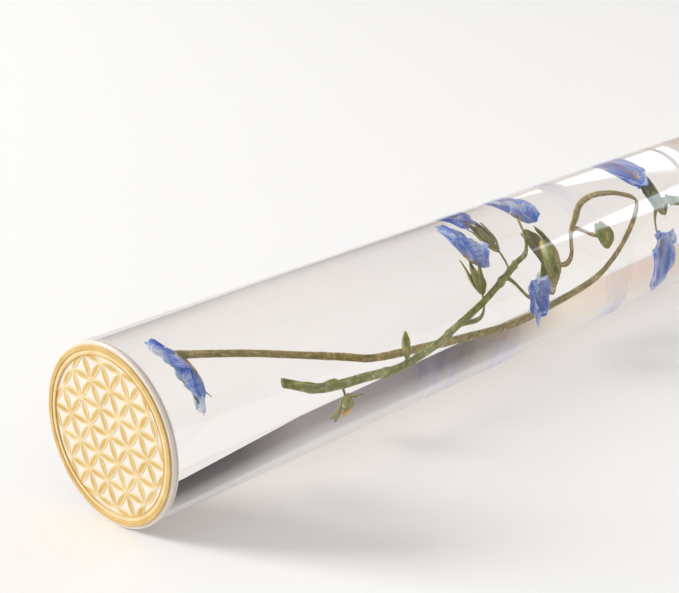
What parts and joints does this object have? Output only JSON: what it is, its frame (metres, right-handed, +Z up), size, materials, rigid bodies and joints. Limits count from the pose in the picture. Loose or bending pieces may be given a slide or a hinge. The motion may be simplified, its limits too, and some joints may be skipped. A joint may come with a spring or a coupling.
{
  "type": "kaleidoscope",
  "caption": "Slim tube kaleidoscope: a clear oil-filled flower chamber with a gold rosette end turns on the front of a mirror barrel with an eyepiece.",
  "frame": {"origin": "middle of the tube's length, on the surface that it lies on", "axes": "+X along the tube towards the eyepiece, the rosette faces -X, +Z up"},
  "size_m": [0.234, 0.02, 0.02],
  "materials": {
    "clear_acrylic": "clear, polished",
    "frosted_acrylic": "frosted, translucent",
    "gold_print": "gold printed foil",
    "gold_aluminium": "brushed, gold anodised",
    "bearing_polymer": "natural white acetal",
    "spring_steel": "blackened spring steel",
    "seal_rubber": "black nitrile",
    "mirror_glass": "front-silvered",
    "lens_acrylic": "clear, polished",
    "black_card": "matt black card",
    "black_acetal": "satin black",
    "petal_blue": "dried petals, matt",
    "stem_green": "dried stem",
    "calyx_green": "dried leaf"
  },
  "bodies": {
    "barrel": {"barrel_tube": "gold_aluminium", "bearing_bush": "bearing_polymer", "thrust_washer": "bearing_polymer", "barrel_window": "lens_acrylic", "front_mirror_holder": "black_acetal", "rear_mirror_holder": "black_acetal", "mirror_1": "mirror_glass", "mirror_2": "mirror_glass", "mirror_3": "mirror_glass", "mirror_card": "black_card", "eyepiece_housing": "gold_aluminium", "eye_lens": "lens_acrylic", "lens_ring": "black_acetal", "eye_cap": "black_acetal", "set_screw_1": "spring_steel", "set_screw_2": "spring_steel", "set_screw_3": "spring_steel"},
    "chamber": {"chamber_tube": "clear_acrylic", "front_plug": "clear_acrylic", "rear_plug": "clear_acrylic", "rear_plug_seal": "seal_rubber", "diffuser_disc": "frosted_acrylic", "gold_rosette": "gold_print", "filler_plug": "bearing_polymer", "grip_collar": "gold_aluminium", "retaining_clip": "spring_steel"},
    "sprigs": {"long_stem": "stem_green", "cut_stem": "stem_green", "rear_stem": "stem_green", "blossom_front": "petal_blue", "blossom_left": "petal_blue", "blossom_top": "petal_blue", "blossom_back": "petal_blue", "blossom_low": "petal_blue", "blossom_rear": "petal_blue", "blossom_rear_low": "petal_blue", "calyx_front": "calyx_green", "calyx_left": "calyx_green", "calyx_top": "calyx_green", "calyx_rear": "calyx_green", "calyx_star": "calyx_green", "calyx_leafy": "calyx_green", "bud_upright": "calyx_green", "bud_curled": "calyx_green"}
  },
  "joints": [
    {"name": "chamber_turn", "type": "hinge", "parent": "barrel", "child": "chamber", "pos_m": [0.02, 0, 0.01], "axis": [1, 0, 0], "continuous": true},
    {"name": "sprig_drift", "type": "slide", "parent": "chamber", "child": "sprigs", "axis": [1, 0, 0], "range_m": [-0.0015, 0.0015]}
  ]
}
